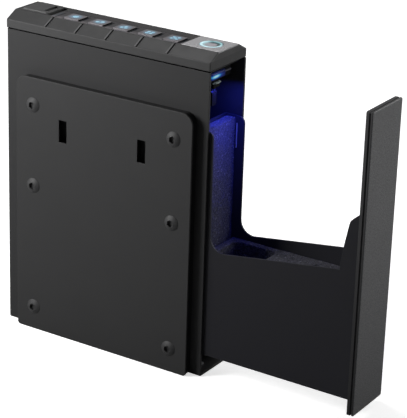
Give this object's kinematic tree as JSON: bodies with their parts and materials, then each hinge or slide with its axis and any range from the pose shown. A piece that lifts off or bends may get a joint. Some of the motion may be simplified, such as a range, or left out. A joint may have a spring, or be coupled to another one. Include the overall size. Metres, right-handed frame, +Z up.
{
  "type": "gun safe",
  "caption": "Tall narrow slide-out handgun safe: steel housing with a side mounting plate, chamfered keypad and fingerprint head, and a foam-lined drawer behind a thick end door.",
  "frame": {"origin": "centre of the housing's flat base, on the surface it stands on", "axes": "+X is the way the drawer slides out, the mounting plate is on the -Y side, +Z is up"},
  "size_m": [0.352, 0.0652, 0.2858],
  "materials": {
    "housing_paint": "matt black fine-texture powder coat",
    "plate_paint": "matt black fine-texture powder coat",
    "tray_paint": "matt black powder coat",
    "door_paint": "matt black fine-grain powder coat",
    "cap_plastic": "satin moulded ABS",
    "keypad_plastic": "satin moulded ABS",
    "window_gloss": "smoked gloss acrylic",
    "key_plastic": "satin translucent key cap",
    "panel_gloss": "gloss grey panel",
    "sensor_gloss": "polished reader window",
    "ring_light": "lit pale cyan light guide",
    "light_lens": "lit blue-white lens",
    "black_oxide": "black oxide steel",
    "zinc_steel": "bright zinc plate",
    "ball_steel": "polished bearing steel",
    "foam": "open-cell grey foam",
    "nickel": "nickel plate",
    "brass": "turned brass",
    "copper_wire": "enamelled copper winding",
    "black_plastic": "moulded nylon",
    "cell_wrap": "plain shrink wrap",
    "silicone": "moulded silicone",
    "rubber": "black rubber",
    "board_green": "solder mask",
    "lead_black": "PVC sleeve"
  },
  "bodies": {
    "housing": {"housing_shell": "housing_paint", "compartment_ceiling": "housing_paint", "mounting_plate": "plate_paint", "top_cap": "cap_plastic", "keypad_bezel": "keypad_plastic", "keypad_window": "window_gloss", "fingerprint_panel": "panel_gloss", "fingerprint_sensor": "sensor_gloss", "sensor_ring_light": "ring_light", "light_bar_lens": "light_lens", "plate_screws": "black_oxide", "rear_bulkhead": "zinc_steel", "slide_pedestal": "zinc_steel", "slide_outer_member": "zinc_steel", "inner_fixing_screws": "zinc_steel", "cap_screws": "zinc_steel", "solenoid_frame": "zinc_steel", "battery_contacts": "zinc_steel", "latch_spring": "zinc_steel", "ejector_spring": "zinc_steel", "cover_hinge_pin": "zinc_steel", "lock_cylinder": "nickel", "lock_nut": "nickel", "solenoid_coil": "copper_wire", "battery_box": "black_plastic", "battery_door": "black_plastic", "light_bar_housing": "black_plastic", "ejector_barrel": "black_plastic", "drawer_switch": "black_plastic", "batteries": "cell_wrap", "key_membrane": "silicone", "drawer_bumpers": "rubber", "cable_grommet": "rubber", "plate_gasket": "rubber", "control_board": "board_green", "wiring_harness": "lead_black"},
    "drawer": {"drawer_tray": "tray_paint", "door_panel": "door_paint", "drawer_screws": "zinc_steel", "rear_foam_pad": "foam", "floor_foam_block": "foam", "striker_loop": "zinc_steel", "slide_inner_member": "zinc_steel", "foam_retainers": "zinc_steel"},
    "slide_middle": {"slide_middle_member": "zinc_steel"},
    "outer_cage": {"outer_ball_retainer": "zinc_steel", "outer_balls": "ball_steel"},
    "inner_cage": {"inner_ball_retainer": "zinc_steel", "inner_balls": "ball_steel"},
    "key_1": {"key_1": "key_plastic"},
    "key_2": {"key_2": "key_plastic"},
    "key_3": {"key_3": "key_plastic"},
    "key_4": {"key_4": "key_plastic"},
    "key_5": {"key_5": "key_plastic"},
    "key_lid": {"key_cover": "cap_plastic"},
    "lock_plug": {"lock_plug": "brass", "lock_cam": "zinc_steel"},
    "latch": {"latch_bolt": "zinc_steel", "solenoid_plunger": "ball_steel"},
    "ejector": {"ejector_plunger": "black_plastic"}
  },
  "joints": [
    {"name": "drawer_slide", "type": "slide", "parent": "housing", "child": "drawer", "axis": [1, 0, 0], "range_m": [-0.146, 0]},
    {"name": "slide_middle_slide", "type": "slide", "parent": "housing", "child": "slide_middle", "axis": [1, 0, 0], "range_m": [-0.073, 0]},
    {"name": "outer_cage_slide", "type": "slide", "parent": "housing", "child": "outer_cage", "axis": [1, 0, 0], "range_m": [-0.0365, 0]},
    {"name": "inner_cage_slide", "type": "slide", "parent": "housing", "child": "inner_cage", "axis": [1, 0, 0], "range_m": [-0.1095, 0]},
    {"name": "key_1_press", "type": "slide", "parent": "housing", "child": "key_1", "axis": [0, 0, -1], "range_m": [0, 0.0008], "stiffness_N_per_m": 600},
    {"name": "key_2_press", "type": "slide", "parent": "housing", "child": "key_2", "axis": [0, 0, -1], "range_m": [0, 0.0008], "stiffness_N_per_m": 600},
    {"name": "key_3_press", "type": "slide", "parent": "housing", "child": "key_3", "axis": [0, 0, -1], "range_m": [0, 0.0008], "stiffness_N_per_m": 600},
    {"name": "key_4_press", "type": "slide", "parent": "housing", "child": "key_4", "axis": [0, 0, -1], "range_m": [0, 0.0008], "stiffness_N_per_m": 600},
    {"name": "key_5_press", "type": "slide", "parent": "housing", "child": "key_5", "axis": [0, 0, -1], "range_m": [0, 0.0008], "stiffness_N_per_m": 600},
    {"name": "key_lid_hinge", "type": "hinge", "parent": "housing", "child": "key_lid", "pos_m": [-0.0996, 0, 0.2834], "axis": [0, -1, 0], "range_deg": [0, 95]},
    {"name": "lock_plug_turn", "type": "hinge", "parent": "housing", "child": "lock_plug", "pos_m": [-0.087, 0, 0.26], "axis": [0, 0, 1], "range_deg": [0, 90]},
    {"name": "latch_bolt_slide", "type": "slide", "parent": "housing", "child": "latch", "axis": [0, 1, 0], "range_m": [-0.007, 0], "deforming": ["latch_spring"]},
    {"name": "ejector_slide", "type": "slide", "parent": "housing", "child": "ejector", "axis": [1, 0, 0], "range_m": [0, 0.012], "deforming": ["ejector_spring"]}
  ],
  "couplings": [
    {"joint": "slide_middle_slide", "follows": "drawer_slide", "ratio": 0.5},
    {"joint": "outer_cage_slide", "follows": "drawer_slide", "ratio": 0.25},
    {"joint": "inner_cage_slide", "follows": "drawer_slide", "ratio": 0.75}
  ]
}
